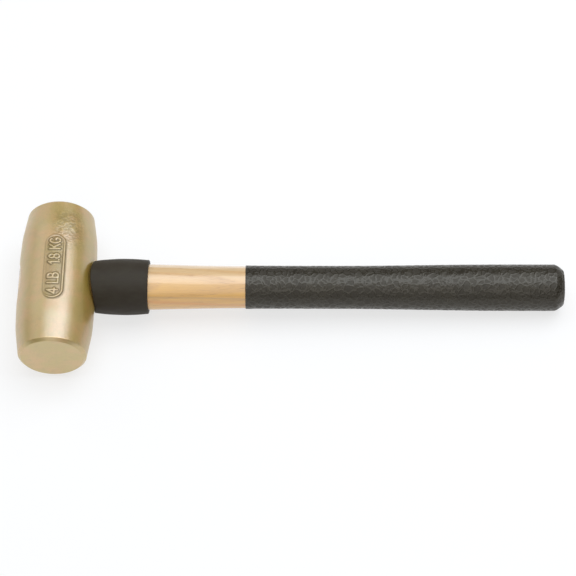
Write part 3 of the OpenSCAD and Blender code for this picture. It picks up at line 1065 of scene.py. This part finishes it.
steel, tree, shader = new_finish("ground_steel")
place = on_hammer(tree)
scratches = speckle(tree, place, (3, 0.16, 4), seed=2.0, detail=3.0, roughness=0.7)
stains = speckle(tree, place, (2.5, 2.5, 2.5), seed=4.0)
tone = tinted(tree, step_up(tree, scratches, 0.3, 0.7), STEEL_DARK, STEEL_BRIGHT)
feed(tree, shader, {
    "Base Color": tinted(tree, step_up(tree, stains, 0.5, 0.75, 0.0, 0.7), tone, STEEL_STAIN),
    "Roughness": step_up(tree, scratches, 0.3, 0.7, 0.30, 0.48),
    "Normal": bumped(tree, scratches, 0.03), "Metallic": 1.0})

for side, end in ((-1, "near"), (1, "far")):
    blank = bevelled(block("steel_wedge", (22, 6, 22), cross_wedge_place(side)), WEDGE_EDGE)
    mark(blank, "outside", np.ones(len(blank.vertices)))
    wedge = worked_mesh(blank, moulded_tree, {
        "Wave size": 3.0, "Wave height": 0.06, "Grain height": 0.02, "Finish": steel})
    lay_down("steel_wedge_" + end, wedge, "cross_wedge_" + end)


# Bench and light
# A plain white bench under a broad soft lamp that hangs over the handle, with a smaller one farther
# back, both a little cool. The room round it is dim, with soft round patches of light high up on
# each side, the brightest behind the camera.
BENCH_HALF = 9.0
BENCH_GREY = 0.86
BENCH_GLOW = 0.7
PATCH_FOCUS = 14.0
LAMP_HEIGHT = 1.7
LAMP_COLOUR = (0.864, 0.927, 1.0)

corners = [(x * BENCH_HALF, y * BENCH_HALF, 0) for x, y in ((-1, -1), (1, -1), (1, 1), (-1, 1))]
bench = shell_of("bench", corners, [[0, 1, 2, 3]])
bench_top = bring_in("bench_top", bench)
bench_finish, tree, shader = new_finish("white_bench")
tree.nodes.remove(shader)
rays = put(tree, "ShaderNodeLightPath").outputs
seen = reckon(tree, "MAXIMUM", rays["Is Camera Ray"], rays["Is Glossy Ray"])
seen = reckon(tree, "MAXIMUM", seen, rays["Is Transmission Ray"])
matt = put(tree, "ShaderNodeBsdfDiffuse", {"Color": (*[BENCH_GREY] * 3, 1)}).outputs[0]
white = put(tree, "ShaderNodeEmission", {"Color": (1, 1, 1, 1), "Strength": 1.0}).outputs[0]
mixed = put(tree, "ShaderNodeMixShader", {
    0: times(tree, seen, BENCH_GLOW), 1: matt, 2: white}).outputs[0]
feed(tree, tree.nodes["Material Output"], {"Surface": mixed})
bench.materials.append(bench_finish)

# The way from the hammer to the middle of each patch of light, and the patch's strength
light_patches = [
    ((0.788, 0, 0.616), 0.8), ((0.557, 0.557, 0.616), 0.2), ((-0.557, 0.557, 0.616), 1.0),
    ((-0.788, 0, 0.616), 0.9), ((-0.692, 0.692, 0.208), 0.6), ((0, -0.848, 0.530), 1.3),
    ((0, -0.438, 0.899), 1.4), ((0.310, 0.310, 0.899), 0.5), ((0.450, 0.500, 0.740), 0.9),
    ((0, 0.950, 0.310), 0.3)]
room = bpy.data.worlds.new("pale_room")
bpy.context.scene.world = room
room.use_nodes = True
tree = room.node_tree
direction = put(tree, "ShaderNodeTexCoord").outputs["Generated"]
level = 0.0
for towards, strength in light_patches:
    facing = put(tree, "ShaderNodeVectorMath", {0: direction, 1: towards},
                 operation="DOT_PRODUCT").outputs["Value"]
    patch = reckon(tree, "POWER", reckon(tree, "MAXIMUM", facing, 0.0), PATCH_FOCUS)
    level = reckon(tree, "MULTIPLY_ADD", patch, strength, level)
horizon = step_up(tree, axes_of(tree, direction)[2], 0.02, 0.12, 1.0, 0.0)
seen = put(tree, "ShaderNodeLightPath").outputs["Is Camera Ray"]
backdrop = reckon(tree, "MAXIMUM", horizon, seen)
feed(tree, tree.nodes["Background"], {
    "Color": (1, 1, 1, 1), "Strength": reckon(tree, "MAXIMUM", level, backdrop)})


def soft_lamp(name, x, y, width, depth, power):
    """A flat lamp that hangs over the bench and shines straight down."""
    lamp = bpy.data.lights.new(name, "AREA")
    lamp.shape, lamp.size, lamp.size_y = "RECTANGLE", width, depth
    lamp.energy, lamp.color = power, LAMP_COLOUR
    bring_in(name, lamp).location = (x, y, LAMP_HEIGHT)


soft_lamp("overhead_lamp", 0.35, 0.25, 2.2, 1.4, 24.2)
soft_lamp("far_lamp", 1.0, 1.28, 0.9, 0.66, 4.6)


# Camera
# It looks down on the hammer from the near side, square to the handle, at the photograph's angle.
# Its place is given along the hammer's own axes, in millimetres.
CAMERA_TURN = math.radians(0.107)
CAMERA_HEIGHT = math.radians(56.58)
CAMERA_ROLL = math.radians(0.022)
CAMERA_DISTANCE = 1555.4
CAMERA_TARGET = Vector((161.61, -0.612, 0.0))
FOCAL_PX = 2224.2
IMAGE_PX = 576.0
SENSOR_W = 36.0

aimed = (Matrix.Rotation(CAMERA_TURN, 4, "Z")
         @ Matrix.Rotation(math.pi / 2 - CAMERA_HEIGHT, 4, "X")
         @ Matrix.Rotation(CAMERA_ROLL, 4, "Z"))
stand = laid_down @ (CAMERA_TARGET + aimed.col[2].xyz * CAMERA_DISTANCE)
lens = bpy.data.cameras.new("camera")
lens.sensor_width = SENSOR_W
lens.lens = FOCAL_PX / IMAGE_PX * SENSOR_W
lens.clip_start, lens.clip_end = 0.05, 60.0
camera = bring_in("camera", lens)
camera.matrix_world = Matrix.Translation(stand) @ tipped @ aimed
bpy.context.scene.camera = camera
bpy.context.scene.view_settings.view_transform = "Standard"
